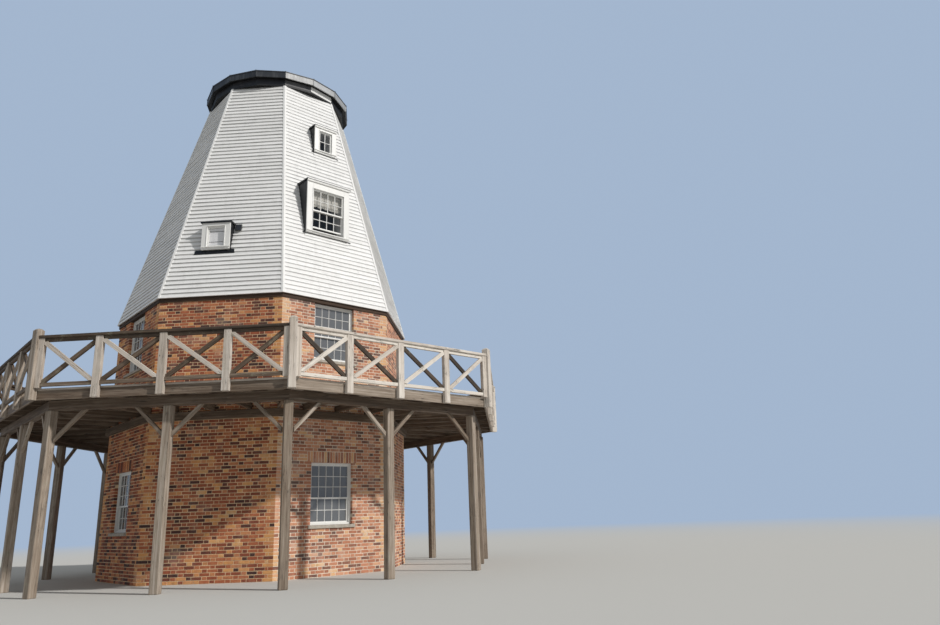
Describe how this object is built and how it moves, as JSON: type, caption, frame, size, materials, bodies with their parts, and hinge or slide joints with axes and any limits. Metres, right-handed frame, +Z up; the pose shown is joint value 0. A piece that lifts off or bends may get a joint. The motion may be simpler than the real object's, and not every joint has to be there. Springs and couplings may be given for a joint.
{
  "type": "converted smock windmill",
  "caption": "Octagonal converted smock windmill: brick tower, white weatherboarded smock with dormer windows, low many-sided cap and a braced timber deck round it.",
  "frame": {"origin": "on the tower's axis at ground level", "axes": "+Z up; -Y out of the octagon's front side, the left of the two sides that face the viewer; +X right"},
  "size_m": [12.686, 12.686, 14.0486],
  "materials": {
    "brick": "matt fired clay brick with pale mortar joints",
    "white_boards": "white painted weatherboards",
    "white_joinery": "white painted joinery",
    "dark_joinery": "dark painted joinery",
    "weathered_oak": "silver-grey weathered timber",
    "dark_oak": "dark brown stained timber",
    "kerb_paint": "dark weathered paint",
    "lead": "dull lead sheet",
    "floor_tile": "matt quarry tile",
    "floor_boards": "oiled floor boards",
    "glass": "clear window glass",
    "sill_stone": "weathered stone"
  },
  "bodies": {
    "root": {"brick_wall_back": "brick", "brick_wall_back_left": "brick", "brick_wall_back_right": "brick", "brick_wall_front": "brick", "brick_wall_front_left": "brick", "brick_wall_front_right": "brick", "brick_wall_left": "brick", "brick_wall_right": "brick", "brick_window_frames": "white_joinery", "brick_window_sashes": "white_joinery", "cap_centre": "lead", "cap_fascia": "lead", "cap_roof": "lead", "cap_soffit": "lead", "corner_posts": "weathered_oak", "corner_strips": "white_boards", "deck_beams": "dark_oak", "deck_boards": "weathered_oak", "deck_joists": "dark_oak", "deck_knee_braces": "weathered_oak", "deck_ledgers": "dark_oak", "deck_posts": "weathered_oak", "deck_rim": "dark_oak", "door_frames": "white_joinery", "doors": "dark_joinery", "dormer_aprons": "lead", "dormer_boxes": "white_joinery", "dormer_hoods": "lead", "dormer_sashes": "white_joinery", "ground_floor": "floor_tile", "kerb_ring": "kerb_paint", "railing_back": "weathered_oak", "railing_back_left": "weathered_oak", "railing_back_right": "weathered_oak", "railing_front": "weathered_oak", "railing_front_left": "weathered_oak", "railing_front_right": "weathered_oak", "railing_left": "weathered_oak", "railing_right": "weathered_oak", "sill_ring": "dark_oak", "smock_wall_back": "white_boards", "smock_wall_back_left": "white_boards", "smock_wall_back_right": "white_boards", "smock_wall_front": "white_boards", "smock_wall_front_left": "white_boards", "smock_wall_front_right": "white_boards", "smock_wall_left": "white_boards", "smock_wall_right": "white_boards", "timber_floors": "floor_boards", "wall_vent": "dark_joinery", "window_glass": "glass", "window_sills": "sill_stone"}
  },
  "joints": []
}
